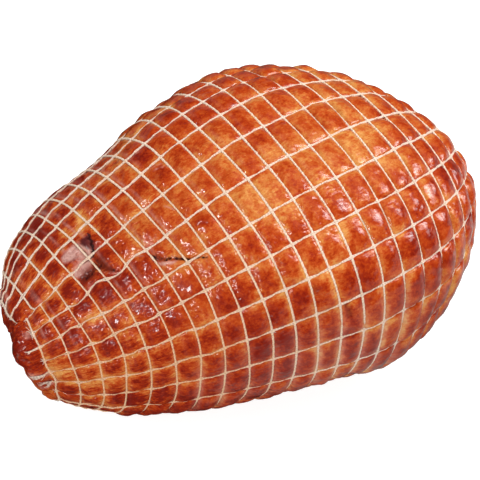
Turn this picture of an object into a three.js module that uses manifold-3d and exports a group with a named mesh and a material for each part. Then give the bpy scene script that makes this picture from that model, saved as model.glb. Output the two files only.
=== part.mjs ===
// Boneless pit ham in an elastic net, lying on its flattened underside.
//
// Millimetres, +Z up, +X along the ham from the narrow shank end to the broad
// butt end. The origin is the middle of the bounding box, on the resting plane.
//
// The ham is a generalised cylinder. A ring coordinate u counts the net's
// elastic rings along the length, and a chain coordinate v counts the net's
// lengthwise knitted chains round the girth, from the top down the front. The
// section at u is made of superellipse quadrants whose sizes are smooth curves
// through the short tables below. The net squeezes the meat, so each mesh of
// the net holds one pillow, and the net lies in the grooves between them. The
// net is cut off open at both ends, and bare meat bulges out of its mouths.

import * as THREE from 'three';
import { mergeVertices } from 'three/addons/utils/BufferGeometryUtils.js';
import Module from 'manifold-3d';

// ---------------------------------------------------------------- dimensions
const CHAINS = 22;            // lengthwise chains round the girth
const RING_MOUTH = -11;       // ring at the net's mouth, shank end
const RING_BUTT = 12;         // ring at the net's mouth, butt end
const U_MIN = -13;            // ring coordinate where the tables start
const U_MAX = 12;             // ring coordinate where the tables end

// Eight control values of each size, evenly spaced along the ham.
const SECTION = {
  x: [-161.2, -150.9, -127.3, -62.2, 9.3, 73.5, 107.3, 115.1],  // station along the length
  yc: [9.2, 18.4, 9.6, -8.9, -1.1, -3.8, -6.9, -11.9],  // sideways place of the middle
  zc: [32, 50.6, 67.5, 81.1, 84, 70.4, 60.9, 64.8],  // height of the widest level
  a: [-3.5, 38.5, 67.2, 86.8, 114.2, 109.9, 65.2, 35.2],  // half width
  bt: [32.8, 30, 41.1, 76.2, 86.4, 75.8, 55.2, 26.9],  // height above the widest level
  bb: [15.3, 43.1, 66.7, 82, 81.3, 73.3, 54.2, 25],  // depth below the widest level
  lean: [-0.409, -0.164, 0.029, -0.07, -0.004, 0.251, 0.466, 0.624],  // a ring leans along X with height
  skew: [0.28, 0.039, -0.118, -0.059, 0.003, -0.041, -0.04, -0.082],  // a ring turns along X with width
  phase: [2.195, 1.95, 1.399, 0.955, 0.802, 0.223, -0.612, -1.549],  // where chain 0 runs
};
// Four control values of what changes only slowly along the ham.
const SQUARE_TOP = [2.5, 2.72, 2.38, 2.47];      // superellipse power, upper half
const SQUARE_BOTTOM = [2.54, 2.42, 2.31, 2.4];   // superellipse power, lower half
const SAG = [-0.032, -0.083, -0.103, -0.05];   // the upper half slumps to the back
// The chains aren't evenly spaced: eight values round the girth, from the top
// down the front, of how many chains each place is moved on by.
const CROWD = [-1.444, -0.957, -1.769, -1.679, -1.199, -0.533, -0.036, -0.217];

const SHANK_BULGE = 8.5;       // bare meat out of the mouth, shank end
const SHANK_ROWS = 2.2;       // ring spacings from the mouth to the tip
const BUTT_BULGE = 9;         // the same at the butt end
const BUTT_ROWS = 1.7;
const GROOVE = 2.2;           // groove under the net, below the smooth surface
const PILLOW = 2.3;           // pillow crown, above the smooth surface
const PILLOW_SPREAD = 0.45;   // how uneven the pillows are
const THREAD_TOP = 0.5;       // outer edge of the net, above the smooth surface
const THREAD_SHARE = 0.13;    // half a thread, as a share of half a mesh
const GAP = 0.4;              // between the net and the meat
const REST_CUT = 0.6;         // flattened underside, below the smooth surface
const CENTRE = [-12.054, -2.526];  // middle of the bounding box before it is moved to the origin

// Places where the meat has split open under the net, shank end.
const SPLITS = [
  { u: -6.45, v: -0.45, ru: 0.55, rv: 0.75, depth: 6.0 },
  { u: -7.3, v: 0.35, ru: 0.45, rv: 0.4, depth: 4.5 },
  { u: -4.2, v: 1.75, ru: 1.1, rv: 0.3, depth: 3.0 },
];

// ---------------------------------------------------------------- functions
// Clamped cubic B-spline through evenly spaced control values, t from 0 to 1.
function smooth(ctrl, t) {
  const n = ctrl.length;
  const spans = n - 3;
  const s = Math.min(Math.max(t, 0), 1 - 1e-9) * spans;
  const knot = (i) => Math.min(Math.max(i - 3, 0), spans);
  const k = Math.floor(s) + 3;
  const d = [0, 1, 2, 3].map((m) => ctrl[k - 3 + m]);
  for (let r = 1; r <= 3; r += 1) {
    for (let m = 3; m >= r; m -= 1) {
      const lo = knot(k - 3 + m);
      const hi = knot(k + 1 + m - r);
      const f = (s - lo) / (hi - lo);
      d[m] = (1 - f) * d[m - 1] + f * d[m];
    }
  }
  return d[3];
}

function bezier(c, t) {
  const q = 1 - t;
  return q * q * q * c[0] + 3 * t * q * q * c[1] + 3 * t * t * q * c[2] + t * t * t * c[3];
}

// Closed cubic B-spline through evenly spaced control values, t from 0 to 1.
function roundSpline(ctrl, t) {
  const n = ctrl.length;
  const s = (t - Math.floor(t)) * n;
  const k = Math.floor(s);
  const f = s - k;
  const b = [(1 - f) ** 3, 3 * f ** 3 - 6 * f ** 2 + 4, -3 * f ** 3 + 3 * f ** 2 + 3 * f + 1, f ** 3];
  return b.reduce((sum, value, m) => sum + (value / 6) * ctrl[(k + m - 1 + n) % n], 0);
}

const power = (value, exponent) => Math.sign(value) * Math.abs(value) ** exponent;

// The smooth curve of one ring: a polyline from the top down the front, under
// the bottom and up the back, with its length at each step.
const STEPS = 96;
const ringCache = new Map();
function ring(u) {
  const key = u.toFixed(5);
  if (ringCache.has(key)) return ringCache.get(key);
  const uu = Math.min(Math.max(u, RING_MOUTH), RING_BUTT);
  const t = (uu - U_MIN) / (U_MAX - U_MIN);
  const s = {};
  for (const name of Object.keys(SECTION)) s[name] = smooth(SECTION[name], t);
  const et = 2 / bezier(SQUARE_TOP, t);
  const eb = 2 / bezier(SQUARE_BOTTOM, t);
  const sag = bezier(SAG, t);
  let shrink = 1;
  let push = 0;
  if (u < RING_MOUTH) {
    const f = Math.min((RING_MOUTH - u) / SHANK_ROWS, 1) * Math.PI / 2;
    shrink = Math.cos(f) ** 0.75;
    push = -SHANK_BULGE * Math.sin(f);
  } else if (u > RING_BUTT) {
    const f = Math.min((u - RING_BUTT) / BUTT_ROWS, 1) * Math.PI / 2;
    shrink = Math.cos(f) ** 0.75;
    push = BUTT_BULGE * Math.sin(f);
  }
  const points = [];
  const length = [0];
  for (let n = 0; n <= STEPS; n += 1) {
    const angle = (2 * Math.PI * n) / STEPS;
    const c = Math.cos(angle);
    const sn = Math.sin(angle);
    const upper = c >= 0;
    const z = shrink * (upper ? power(c, et) * s.bt : power(c, eb) * s.bb);
    const y = shrink * -power(sn, upper ? et : eb) * s.a + sag * z;
    points.push(new THREE.Vector3(s.x + push + s.lean * z + s.skew * y, s.yc + y, s.zc + z));
    if (n) length.push(length[n - 1] + points[n].distanceTo(points[n - 1]));
  }
  const made = { points, length, phase: s.phase };
  ringCache.set(key, made);
  return made;
}

// A point of the smooth surface at ring coordinate u and chain coordinate v.
function surface(u, v) {
  const r = ring(u);
  const w = v + r.phase;
  let share = (w + roundSpline(CROWD, w / CHAINS)) / CHAINS;
  share -= Math.floor(share);
  const goal = share * r.length[STEPS];
  let lo = 0;
  let hi = STEPS;
  while (hi - lo > 1) {
    const mid = (lo + hi) >> 1;
    if (r.length[mid] <= goal) lo = mid; else hi = mid;
  }
  const f = (goal - r.length[lo]) / (r.length[hi] - r.length[lo] || 1);
  return r.points[lo].clone().lerp(r.points[hi], f);
}

function normal(u, v) {
  const e = 0.2;
  const du = surface(u + e, v).sub(surface(u - e, v));
  const dv = surface(u, v + e).sub(surface(u, v - e));
  return dv.cross(du).normalize();
}

// Even-handed scatter from 0 to 1 for the pillow at ring row i, chain column j.
function scatter(i, j) {
  const col = ((j % CHAINS) + CHAINS) % CHAINS;
  const x = Math.sin(i * 12.9898 + col * 78.233) * 43758.5453;
  return x - Math.floor(x);
}

function splitDepth(u, v) {
  let depth = 0;
  for (const s of SPLITS) {
    const dv = v - s.v - CHAINS * Math.round((v - s.v) / CHAINS);
    depth += s.depth * Math.exp(-(((u - s.u) / s.ru) ** 2) - (dv / s.rv) ** 2);
  }
  return depth;
}

function pillow(i, j) {
  const u = i + 0.5;
  const v = j + 0.5;
  const bare = u < RING_MOUTH || u > RING_BUTT;
  const rise = (bare ? 1.0 : PILLOW) * (1 + PILLOW_SPREAD * (scatter(i, j) - 0.5));
  return surface(u, v).addScaledVector(normal(u, v), rise - splitDepth(u, v));
}

function groove(i, j) {
  const bare = i < RING_MOUTH || i > RING_BUTT;
  const split = 0.6 * splitDepth(i, j);
  return surface(i, j).addScaledVector(normal(i, j), bare ? 0.8 * (scatter(i, j) - 0.5) : -GROOVE - split);
}

// Collects points and triangles, then becomes a geometry.
class Shell {
  constructor() { this.xyz = []; this.tri = []; }

  point(p) { this.xyz.push(p.x, p.y, p.z); return this.xyz.length / 3 - 1; }

  face(...ids) { for (let n = 2; n < ids.length; n += 1) this.tri.push(ids[0], ids[n - 1], ids[n]); }

  geometry() {
    const g = new THREE.BufferGeometry();
    g.setAttribute('position', new THREE.Float32BufferAttribute(this.xyz, 3));
    g.setIndex(this.tri);
    return g;
  }
}

const wrap = (j) => ((j % CHAINS) + CHAINS) % CHAINS;

// ---------------------------------------------------------------- the meat
// One crown point in each mesh and one groove point at each crossing.
function makeHam() {
  const first = RING_MOUTH - 2;
  const last = RING_BUTT + 1;
  const shell = new Shell();
  const low = [];
  const high = [];
  for (let i = first; i <= last; i += 1) {
    low.push(Array.from({ length: CHAINS }, (_, j) => shell.point(groove(i, j))));
    if (i < last) high.push(Array.from({ length: CHAINS }, (_, j) => shell.point(pillow(i, j))));
  }
  for (let i = 0; i < high.length; i += 1) {
    for (let j = 0; j < CHAINS; j += 1) {
      const a = low[i][j];
      const b = low[i + 1][j];
      const c = low[i + 1][wrap(j + 1)];
      const d = low[i][wrap(j + 1)];
      const m = high[i][j];
      shell.face(m, a, b);
      shell.face(m, b, c);
      shell.face(m, c, d);
      shell.face(m, d, a);
    }
  }
  const centre = (row) => row.reduce((sum, id) => sum.add(new THREE.Vector3(...shell.xyz.slice(3 * id, 3 * id + 3))), new THREE.Vector3()).divideScalar(CHAINS);
  const tip = centre(low[0]);
  tip.x -= 1.0;
  const end = centre(low[low.length - 1]);
  end.x += 2.0;
  const tipId = shell.point(tip);
  const endId = shell.point(end);
  for (let j = 0; j < CHAINS; j += 1) {
    shell.face(tipId, low[0][j], low[0][wrap(j + 1)]);
    shell.face(endId, low[low.length - 1][wrap(j + 1)], low[low.length - 1][j]);
  }
  return shell.geometry();
}

// ---------------------------------------------------------------- the net
// Three-sided threads: a ridge outside, and an underside that clears the meat.
function makeNet() {
  const shell = new Shell();
  const rows = RING_BUTT - RING_MOUTH;
  const ridge = [];
  for (let i = RING_MOUTH; i <= RING_BUTT; i += 1) {
    ridge.push(Array.from({ length: CHAINS }, (_, j) => shell.point(
      surface(i, j).addScaledVector(normal(i, j), THREAD_TOP))));
  }
  // corner[i][j][k]: the four corners of the mesh at row i, column j
  const corner = [];
  for (let i = 0; i < rows; i += 1) {
    const line = [];
    for (let j = 0; j < CHAINS; j += 1) {
      const u = i + RING_MOUTH;
      const m = surface(u + 0.5, j + 0.5).addScaledVector(normal(u + 0.5, j + 0.5), PILLOW * (1 + PILLOW_SPREAD / 2));
      line.push([[u, j], [u + 1, j], [u + 1, j + 1], [u, j + 1]].map(([p, q]) => {
        const base = surface(p, q).addScaledVector(normal(p, q), -GROOVE);
        return shell.point(base.lerp(m, THREAD_SHARE).addScaledVector(normal(p, q), GAP));
      }));
    }
    corner.push(line);
  }
  // the free borders at the two mouths
  const border = (ringNumber, outward) => Array.from({ length: CHAINS }, (_, j) => {
    const base = surface(ringNumber, j).addScaledVector(normal(ringNumber, j), -GROOVE);
    const beyond = surface(ringNumber + 0.5 * outward, j).addScaledVector(normal(ringNumber + 0.5 * outward, j), 1.6);
    return shell.point(base.lerp(beyond, THREAD_SHARE).addScaledVector(normal(ringNumber, j), GAP + 0.25));
  });
  const mouth = border(RING_MOUTH, -1);
  const butt = border(RING_BUTT, 1);

  for (let j = 0; j < CHAINS; j += 1) {
    const j1 = wrap(j + 1);
    const j0 = wrap(j - 1);
    for (let i = 0; i <= rows; i += 1) {
      const a = ridge[i][j];
      const b = ridge[i][j1];
      // ring thread from chain j to chain j + 1
      const fore = i < rows ? [corner[i][j][0], corner[i][j][3]] : [butt[j], butt[j1]];
      const aft = i > 0 ? [corner[i - 1][j][1], corner[i - 1][j][2]] : [mouth[j], mouth[j1]];
      shell.face(a, fore[0], fore[1], b);
      shell.face(a, b, aft[1], aft[0]);
      shell.face(aft[0], aft[1], fore[1], fore[0]);
      // underside of the crossing
      if (i === 0) {
        shell.face(mouth[j], corner[0][j][0], corner[0][j0][3]);
      } else if (i === rows) {
        shell.face(butt[j], corner[i - 1][j0][2], corner[i - 1][j][1]);
      } else {
        shell.face(corner[i][j][0], corner[i][j0][3], corner[i - 1][j0][2], corner[i - 1][j][1]);
      }
      // chain from ring i to ring i + 1
      if (i < rows) {
        const c = ridge[i + 1][j];
        const down = [corner[i][j][0], corner[i][j][1]];
        const up = [corner[i][j0][3], corner[i][j0][2]];
        shell.face(a, c, down[1], down[0]);
        shell.face(a, up[0], up[1], c);
        shell.face(down[0], down[1], up[1], up[0]);
      }
    }
  }
  return shell.geometry();
}

// ---------------------------------------------------------------- solids
const wasm = await Module();
wasm.setup();

function toSolid(geometry) {
  const g = geometry.clone();
  g.deleteAttribute('normal');
  g.deleteAttribute('uv');
  const merged = mergeVertices(g, 1e-4);
  return new wasm.Manifold(new wasm.Mesh({
    numProp: 3,
    vertProperties: new Float32Array(merged.attributes.position.array),
    triVerts: new Uint32Array(merged.index.array),
  }));
}

function toGeometry(solid) {
  const mesh = solid.getMesh();
  const g = new THREE.BufferGeometry();
  g.setAttribute('position', new THREE.Float32BufferAttribute(Array.from(mesh.vertProperties), 3));
  g.setIndex(Array.from(mesh.triVerts));
  return g;
}

// Faces point out when the signed volume is positive.
function facingOut(geometry) {
  const p = geometry.attributes.position;
  const ids = geometry.index.array;
  const [a, b, c] = [new THREE.Vector3(), new THREE.Vector3(), new THREE.Vector3()];
  let volume = 0;
  for (let n = 0; n < ids.length; n += 3) {
    a.fromBufferAttribute(p, ids[n]);
    b.fromBufferAttribute(p, ids[n + 1]);
    c.fromBufferAttribute(p, ids[n + 2]);
    volume += a.dot(b.cross(c));
  }
  if (volume < 0) {
    for (let n = 0; n < ids.length; n += 3) [ids[n + 1], ids[n + 2]] = [ids[n + 2], ids[n + 1]];
  }
  return geometry;
}

// The ham's own weight flattens the pillows that it rests on.
const above = new THREE.BoxGeometry(600, 500, 400);
above.translate(0, 0, 200 - REST_CUT);
const ham = toGeometry(toSolid(facingOut(makeHam())).intersect(toSolid(above)));
const net = facingOut(makeNet());

const group = new THREE.Group();
for (const [name, geometry, material] of [
  ['ham', ham, { color: 0x9c3a1a, roughness: 0.35, metalness: 0 }],
  ['net', net, { color: 0xe6c9a2, roughness: 0.8, metalness: 0 }],
]) {
  geometry.translate(-CENTRE[0], -CENTRE[1], REST_CUT);
  geometry.computeVertexNormals();
  const mesh = new THREE.Mesh(geometry, new THREE.MeshStandardMaterial(material));
  mesh.name = name;
  group.add(mesh);
}

export default group;
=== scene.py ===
import itertools
import math

import bpy
import numpy as np
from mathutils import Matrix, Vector


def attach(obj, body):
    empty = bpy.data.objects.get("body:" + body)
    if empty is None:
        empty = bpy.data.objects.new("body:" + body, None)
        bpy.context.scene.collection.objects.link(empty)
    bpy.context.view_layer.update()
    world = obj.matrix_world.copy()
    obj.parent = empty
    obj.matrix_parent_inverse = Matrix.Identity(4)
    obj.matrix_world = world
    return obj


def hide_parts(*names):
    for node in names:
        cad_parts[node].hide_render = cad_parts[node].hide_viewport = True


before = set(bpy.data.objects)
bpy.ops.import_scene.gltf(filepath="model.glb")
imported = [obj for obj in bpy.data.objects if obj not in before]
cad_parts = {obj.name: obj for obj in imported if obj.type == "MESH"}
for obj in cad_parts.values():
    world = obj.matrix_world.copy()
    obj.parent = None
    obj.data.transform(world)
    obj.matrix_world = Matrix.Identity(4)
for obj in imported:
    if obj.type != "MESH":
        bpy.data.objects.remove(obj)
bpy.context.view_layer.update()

# =====================================================================
# 1. The ham's smooth shape, the same tables and sums as the solid, in mm.
#    u counts the net's rings along the ham, v its chains round the girth.
# =====================================================================
CHAINS = 22
RING_MOUTH, RING_BUTT = -11, 12
U_MIN, U_MAX = -13, 12
SECTION = {
    "x": [-161.2, -150.9, -127.3, -62.2, 9.3, 73.5, 107.3, 115.1],
    "yc": [9.2, 18.4, 9.6, -8.9, -1.1, -3.8, -6.9, -11.9],
    "zc": [32.0, 50.6, 67.5, 81.1, 84.0, 70.4, 60.9, 64.8],
    "a": [-3.5, 38.5, 67.2, 86.8, 114.2, 109.9, 65.2, 35.2],
    "bt": [32.8, 30.0, 41.1, 76.2, 86.4, 75.8, 55.2, 26.9],
    "bb": [15.3, 43.1, 66.7, 82.0, 81.3, 73.3, 54.2, 25.0],
    "lean": [-0.409, -0.164, 0.029, -0.07, -0.004, 0.251, 0.466, 0.624],
    "skew": [0.28, 0.039, -0.118, -0.059, 0.003, -0.041, -0.04, -0.082],
    "phase": [2.195, 1.95, 1.399, 0.955, 0.802, 0.223, -0.612, -1.549],
}
SQUARE_TOP = [2.5, 2.72, 2.38, 2.47]
SQUARE_BOTTOM = [2.54, 2.42, 2.31, 2.4]
SAG = [-0.032, -0.083, -0.103, -0.05]
CROWD = [-1.444, -0.957, -1.769, -1.679, -1.199, -0.533, -0.036, -0.217]
SHANK_BULGE, SHANK_ROWS = 8.5, 2.2
BUTT_BULGE, BUTT_ROWS = 9.0, 1.7
REST_CUT = 0.6
CENTRE = (-12.054, -2.526)
STEPS = 192


def spline(ctrl, t):
    """Clamped cubic B-spline with evenly spaced knots."""
    c = np.asarray(ctrl, float)
    n = len(c)
    knots = np.concatenate([[0.0] * 3, np.linspace(0, 1, n - 2), [1.0] * 3])
    t = np.clip(np.asarray(t, float), 0, 1 - 1e-9)
    base = [np.where((knots[i] <= t) & (t < knots[i + 1]), 1.0, 0.0) for i in range(len(knots) - 1)]
    for d in range(1, 4):
        up = []
        for i in range(len(knots) - 1 - d):
            left = right = 0 * t
            if knots[i + d] > knots[i]:
                left = (t - knots[i]) / (knots[i + d] - knots[i]) * base[i]
            if knots[i + d + 1] > knots[i + 1]:
                right = (knots[i + d + 1] - t) / (knots[i + d + 1] - knots[i + 1]) * base[i + 1]
            up.append(left + right)
        base = up
    return sum(c[i] * base[i] for i in range(n))


def round_spline(ctrl, t):
    """Closed cubic B-spline."""
    c = np.asarray(ctrl, float)
    n = len(c)
    s = (t - np.floor(t)) * n
    k = np.floor(s).astype(int)
    f = s - k
    b = [(1 - f) ** 3, 3 * f**3 - 6 * f**2 + 4, -3 * f**3 + 3 * f**2 + 3 * f + 1, f**3]
    return sum(b[m] / 6 * c[(k + m - 1) % n] for m in range(4))


def bezier(c, t):
    q = 1 - t
    return q**3 * c[0] + 3 * t * q * q * c[1] + 3 * t * t * q * c[2] + t**3 * c[3]


def power(value, exponent):
    return np.sign(value) * np.maximum(np.abs(value), 1e-9) ** exponent


def surface_grid(us, vs):
    us = np.asarray(us, float)
    t = (np.clip(us, RING_MOUTH, RING_BUTT) - U_MIN) / (U_MAX - U_MIN)
    s = {k: spline(v, t)[:, None] for k, v in SECTION.items()}
    et = (2 / bezier(SQUARE_TOP, t))[:, None]
    eb = (2 / bezier(SQUARE_BOTTOM, t))[:, None]
    sag = bezier(SAG, t)[:, None]
    fs = np.clip((RING_MOUTH - us) / SHANK_ROWS, 0, 1) * math.pi / 2
    fb = np.clip((us - RING_BUTT) / BUTT_ROWS, 0, 1) * math.pi / 2
    shrink = (np.maximum(np.cos(fs), 0) ** 0.75 * np.maximum(np.cos(fb), 0) ** 0.75)[:, None]
    push = (-SHANK_BULGE * np.sin(fs) + BUTT_BULGE * np.sin(fb))[:, None]
    ang = np.linspace(0, 2 * math.pi, STEPS + 1)[None]
    c, sn = np.cos(ang), np.sin(ang)
    upper = c >= 0
    z = shrink * np.where(upper, power(c, et) * s["bt"], power(c, eb) * s["bb"])
    y = shrink * np.where(upper, -power(sn, et), -power(sn, eb)) * s["a"] + sag * z
    pts = np.stack([s["x"] + push + s["lean"] * z + s["skew"] * y, s["yc"] + y, s["zc"] + z], -1)
    length = np.concatenate([np.zeros((len(us), 1)), np.cumsum(np.linalg.norm(np.diff(pts, axis=1), axis=2), 1)], 1)
    out = np.empty((len(us), len(vs), 3))
    for r in range(len(us)):
        w = vs + s["phase"][r, 0]
        share = (w + round_spline(CROWD, w / CHAINS)) / CHAINS
        goal = (share - np.floor(share)) * length[r, -1]
        for k in range(3):
            out[r, :, k] = np.interp(goal, length[r], pts[r, :, k])
    return out + np.array([-CENTRE[0], -CENTRE[1], REST_CUT])


U0, U1 = RING_MOUTH - SHANK_ROWS + 0.004, RING_BUTT + BUTT_ROWS - 0.004
GU = np.linspace(U0, U1, 673)
DU = GU[1] - GU[0]
PER = 24
GP = surface_grid(GU, np.arange(CHAINS * PER) / PER)
_gu = np.gradient(GP, DU, axis=0)
_gv = (np.roll(GP, -1, 1) - np.roll(GP, 1, 1)) * PER / 2
GN = np.cross(_gv, _gu)
GN /= np.linalg.norm(GN, axis=2, keepdims=True) + 1e-12
GL = np.stack([np.linalg.norm(_gu, axis=2), np.linalg.norm(_gv, axis=2)], -1)


def sample(grid, u, v):
    a = np.clip((np.asarray(u, float) - U0) / DU, 0, len(GU) - 1.001)
    b = (np.asarray(v, float) % CHAINS) * PER
    i = np.floor(a).astype(int)
    j = np.floor(b).astype(int)
    f = (a - i)[..., None]
    g = (b - j)[..., None]
    j %= CHAINS * PER
    k = (j + 1) % (CHAINS * PER)
    return (grid[i, j] * (1 - f) + grid[i + 1, j] * f) * (1 - g) + (grid[i, k] * (1 - f) + grid[i + 1, k] * f) * g


# =====================================================================
# 2. Seeded noise
# =====================================================================
def hashed(i, j, k, seed):
    h = (i * 374761393 + j * 668265263 + k * 1440662683 + seed * 1274126177) & 0xFFFFFFFF
    h = ((h ^ (h >> 13)) * 1274126177) & 0xFFFFFFFF
    return ((h ^ (h >> 16)) & 0xFFFFFF) / 0xFFFFFF * 2 - 1


def noise(p, size, seed):
    q = np.asarray(p, float) / size
    i = np.floor(q).astype(np.int64)
    f = q - i
    f = f * f * f * (f * (f * 6 - 15) + 10)
    out = np.zeros(q.shape[:-1])
    for d in itertools.product((0, 1), repeat=3):
        w = np.ones(q.shape[:-1])
        for k in range(3):
            w = w * (f[..., k] if d[k] else 1 - f[..., k])
        out += w * hashed(i[..., 0] + d[0], i[..., 1] + d[1], i[..., 2] + d[2], seed)
    return out


def lumps(p, size, seed, octaves=2, rough=0.5):
    """Noise whose lattice is bent by slower noise, so that no grid shows."""
    bend = np.stack([noise(p, size * 1.7, seed + 50 + k) for k in range(3)], -1) * size * 0.55
    out, amount, total = 0.0, 1.0, 0.0
    for o in range(octaves):
        out = out + amount * noise(p + bend + 7.3 * o, size / 2**o, seed + o)
        total += amount
        amount *= rough
    return out / total * 1.5


def smooth(lo, hi, x):
    t = np.clip((x - lo) / (hi - lo), 0, 1)
    return t * t * (3 - 2 * t)


def scatter(i, j, k=0):
    s = np.sin(i * 12.9898 + (j % CHAINS) * 78.233 + k * 37.719) * 43758.5453
    return s - np.floor(s)


# =====================================================================
# 3. How the net lies: (a, b) are net coordinates. Rings are a = whole
#    number, chains are b = whole number, and both run a little unevenly.
# =====================================================================
ROWS = 30  # segments along a chain, from a = -14


def bow_table():
    k = np.arange(ROWS)[:, None] - 14
    j = np.arange(CHAINS)[None]
    loose = 0.016 + 0.085 * smooth(-3.0, -8.0, k + 0.5) + 0.03 * smooth(8, 12, k + 0.5)
    bow = (scatter(k, j, 1) + scatter(k, j, 2) - 1) * loose * 1.5
    kink = (scatter(k, j, 3) - 0.5) * loose * 0.8
    return bow, kink


BOW, KINK = bow_table()


def chain_shift(a, j):
    k = np.clip(np.floor(a).astype(int) + 14, 0, ROWS - 1)
    s = a - np.floor(a)
    j = j % CHAINS
    return BOW[k, j] * np.sin(math.pi * s) + KINK[k, j] * np.sin(2 * math.pi * s)


def lay(a, b):
    """Net coordinates to shape coordinates."""
    a, b = np.broadcast_arrays(np.asarray(a, float), np.asarray(b, float))
    j = np.floor(b).astype(int)
    t = b - j
    v = b + chain_shift(a, j) * (1 - t) + chain_shift(a, j + 1) * t
    turn = 2 * math.pi * b / CHAINS
    u = a + 0.022 * np.sin(3 * turn + 1.7 * a) + 0.018 * np.sin(7 * turn - 2.3 * a)
    mouth = np.exp(-(((a - RING_MOUTH) / 0.6) ** 2))
    u = u + mouth * (0.07 * np.sin(5 * turn + 0.6) + 0.06 * np.sin(9 * turn + 2.1))
    slack = np.exp(-(((a - RING_MOUTH) / 1.2) ** 2))
    bb = b % CHAINS
    droop = smooth(16.0, 18.0, bb) * smooth(22.6, 21.7, np.where(bb < 2, bb + CHAINS, bb))
    u = u - slack * 0.92 * droop
    butt = np.exp(-(((a - RING_BUTT) / 0.6) ** 2))
    u = u + butt * 0.05 * np.sin(6 * turn + 1.1)
    return u, v


def place(a, b):
    u, v = lay(a, b)
    return sample(GP, u, v), sample(GN, u, v), sample(GL, u, v)


# =====================================================================
# 4. The ham's relief over the smooth shape
# =====================================================================
# Marks run through (u, v, half width mm, depth mm).
CREVICE = [(-6.26, 21.28, 0.6, 1.0), (-6.37, 21.5, 1.1, 2.8), (-6.47, 21.68, 1.4, 3.6), (-6.64, 21.88, 1.4, 3.6), (-6.83, 22.03, 1.1, 2.2)]
PIT = [(-7.8, 22.44, 2.6, 1.6), (-7.6, 22.46, 3.8, 2.3), (-7.36, 22.47, 4.2, 2.4), (-7.18, 22.42, 3.2, 1.9)]
HOLLOW = [(-6.76, 22.14, 1.8, 1.6), (-6.81, 22.35, 3.0, 2.8), (-6.78, 22.52, 3.4, 3.0), (-6.7, 22.68, 2.6, 2.6), (-6.58, 22.85, 1.6, 2.0), (-6.46, 23.0, 0.9, 1.2)]
SLIT = [(-4.95, 23.24, 1.3, 0.9), (-4.9, 23.36, 2.1, 1.5), (-4.78, 23.47, 2.0, 1.6), (-4.58, 23.58, 1.1, 1.6), (-4.3, 23.69, 0.9, 2.6), (-4.1, 23.78, 1.1, 2.8), (-3.9, 23.9, 0.9, 2.2), (-3.74, 23.96, 0.5, 1.0), (-3.58, 24.0, 0.9, 2.2), (-3.42, 24.06, 0.6, 1.0), (-3.28, 24.14, 0.7, 1.8), (-3.15, 24.18, 0.4, 0.6)]
PURPLE = [(-6.36, 21.38, 1.4, 0.9), (-6.52, 21.5, 2.4, 1.0), (-6.7, 21.42, 2.5, 1.0), (-6.64, 21.6, 2.4, 1.0), (-6.68, 21.72, 1.6, 0.8)]
PALE_EDGE = [(-6.6, 21.7, 0.8, 0.0), (-6.76, 21.86, 0.9, 0.0), (-6.93, 21.95, 0.8, 0.0)]
PALE_WALL = [(-7.7, 21.4, 3.2, 0.5), (-7.15, 21.5, 5.0, 1.0), (-6.95, 21.8, 4.6, 1.6), (-7.3, 22.1, 4.6, 1.4), (-7.75, 22.12, 3.4, 0.5)]
PALE_LIP = [(-4.92, 23.57, 1.0, 0.0), (-4.68, 23.69, 1.3, 0.0), (-4.36, 23.79, 1.0, 0.0)]
SMEARS = [
    [(-11.1, 4.1, 0.8, 0.8), (-11.9, 3.66, 1.5, 0.6)],
    [(-11.2, 5.15, 0.8, 0.8), (-12.0, 5.7, 1.3, 0.5)],
    [(-11.3, 4.75, 0.4, 0.6), (-11.9, 4.85, 0.6, 0.4)],
    [(-12.0, 1.85, 0.5, 0.5), (-12.4, 2.5, 0.7, 0.3)],
    [(-11.25, 0.9, 1.0, 0.6), (-11.4, 1.1, 1.0, 0.5)],
]
SCRATCHES = [
    [(-2.55, 21.21, 0.45, 0.35), (-2.27, 21.29, 0.5, 0.45), (-1.99, 21.42, 0.4, 0.3)],
    [(-2.5, 21.08, 0.35, 0.2), (-2.1, 21.2, 0.4, 0.3)],
    [(-5.5, 22.9, 0.4, 0.3), (-5.25, 23.1, 0.4, 0.3)],
    [(-3.2, 22.35, 0.4, 0.3), (-3.05, 22.55, 0.4, 0.3)],
]
DIMPLE = [(0.13, 4.33, 2.4, 0.8)]
DENT = [(1.26, 5.06, 1.6, 1.4), (1.37, 5.36, 1.9, 1.6)]
RIDGE = [(0.95, 5.55, 1.2, -0.8), (1.6, 5.7, 1.8, -1.6), (2.1, 5.9, 1.8, -1.6), (2.6, 5.92, 1.0, -0.8)]


def along(p, mark):
    """Nearness (1 on the line, fading over its half width) and depth of a mark."""
    m = np.asarray(mark, float)
    line = sample(GP, m[:, 0], m[:, 1])
    best = np.full(p.shape[:-1], 1e9)
    width = np.full(p.shape[:-1], 1.0)
    depth = np.zeros(p.shape[:-1])
    for k in range(max(len(m) - 1, 1)):
        q0, q1 = line[k], line[min(k + 1, len(m) - 1)]
        d = q1 - q0
        t = np.clip(((p - q0) @ d) / max(d @ d, 1e-9), 0, 1)
        dist = np.linalg.norm(p - (q0 + t[..., None] * d), axis=-1)
        e = min(k + 1, len(m) - 1)
        w = m[k, 2] * (1 - t) + m[e, 2] * t
        dep = m[k, 3] * (1 - t) + m[e, 3] * t
        closer = dist / w < best
        best = np.where(closer, dist / w, best)
        width = np.where(closer, w, width)
        depth = np.where(closer, dep, depth)
    return np.exp(-(best**2)), depth


def groove_floor(a, b, p):
    right = smooth(0.5, 5.0, a)
    return -1.3 - 0.3 * right + 0.18 * noise(p, 26, 11)


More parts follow.
